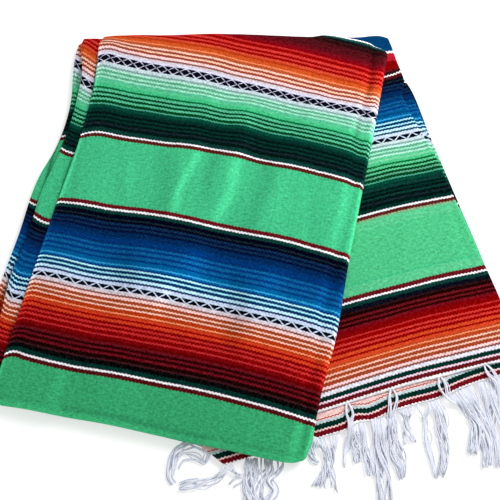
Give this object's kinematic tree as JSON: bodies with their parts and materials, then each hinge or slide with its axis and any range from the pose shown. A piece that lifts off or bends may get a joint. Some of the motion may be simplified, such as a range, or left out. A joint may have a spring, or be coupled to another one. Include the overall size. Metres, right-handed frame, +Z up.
{
  "type": "folded serape blanket",
  "caption": "Striped woven serape blanket with fringed ends, folded to a strip, turned over into a V and laid flat on the floor.",
  "frame": {"origin": "middle of the folded blanket's footprint, fringe included, at floor level", "axes": "+Z up; -Y is the side of the rounded bottom fold and the fringe, which the picture is taken from; +X is the viewer's right, where the fringed arm lies"},
  "size_m": [0.6848, 0.6092, 0.0268],
  "materials": {
    "front_wool": "striped flat weave",
    "second_wool": "striped flat weave",
    "third_wool": "striped flat weave",
    "back_wool": "striped flat weave",
    "border_wool": "striped flat weave, woven border",
    "tail_wool": "striped flat weave, woven border",
    "hidden_wool": "folded wool layers",
    "lower_yarn": "loose spun yarn",
    "upper_yarn": "loose spun yarn",
    "tail_yarn": "loose spun yarn"
  },
  "bodies": {
    "root": {"front_ply": "front_wool", "second_ply": "second_wool", "third_ply": "third_wool", "back_upper_ply": "back_wool", "back_lower_ply": "border_wool", "tail_ply": "tail_wool", "hidden_layers": "hidden_wool", "lower_fringe": "lower_yarn", "upper_fringe": "upper_yarn", "tail_fringe": "tail_yarn"}
  },
  "joints": []
}
